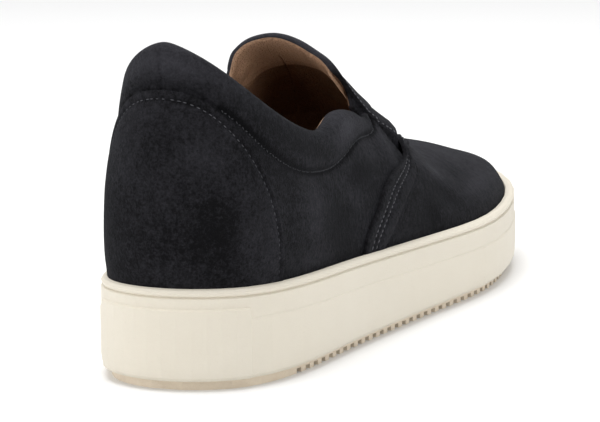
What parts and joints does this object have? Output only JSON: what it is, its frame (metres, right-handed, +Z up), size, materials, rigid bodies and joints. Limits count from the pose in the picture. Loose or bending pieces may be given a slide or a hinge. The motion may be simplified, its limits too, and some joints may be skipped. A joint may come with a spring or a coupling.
{
  "type": "slip-on sneaker",
  "caption": "Low slip-on sneaker for the right foot: dark suede upper with a padded collar and a high tongue on a thick cream cup sole.",
  "frame": {"origin": "centre of the sole's outline, on the ground", "axes": "+Y heel to toe, +Z up, +X towards the outer side of the right foot"},
  "size_m": [0.1056, 0.3, 0.1123],
  "materials": {
    "outsole": "matt rubber with toothed edges",
    "midsole": "cream moulded rubber, satin",
    "insole": "tan leather cover",
    "upper": "dark blue-grey suede with a tan leather lining",
    "tongue": "dark blue-grey suede with a tan leather lining",
    "heel_counter": "dark blue-grey suede",
    "vamp_band": "dark blue-grey suede"
  },
  "bodies": {
    "root": {"outsole": "outsole", "midsole": "midsole", "insole": "insole", "upper": "upper", "tongue": "tongue", "heel_counter": "heel_counter", "vamp_band": "vamp_band"}
  },
  "joints": []
}
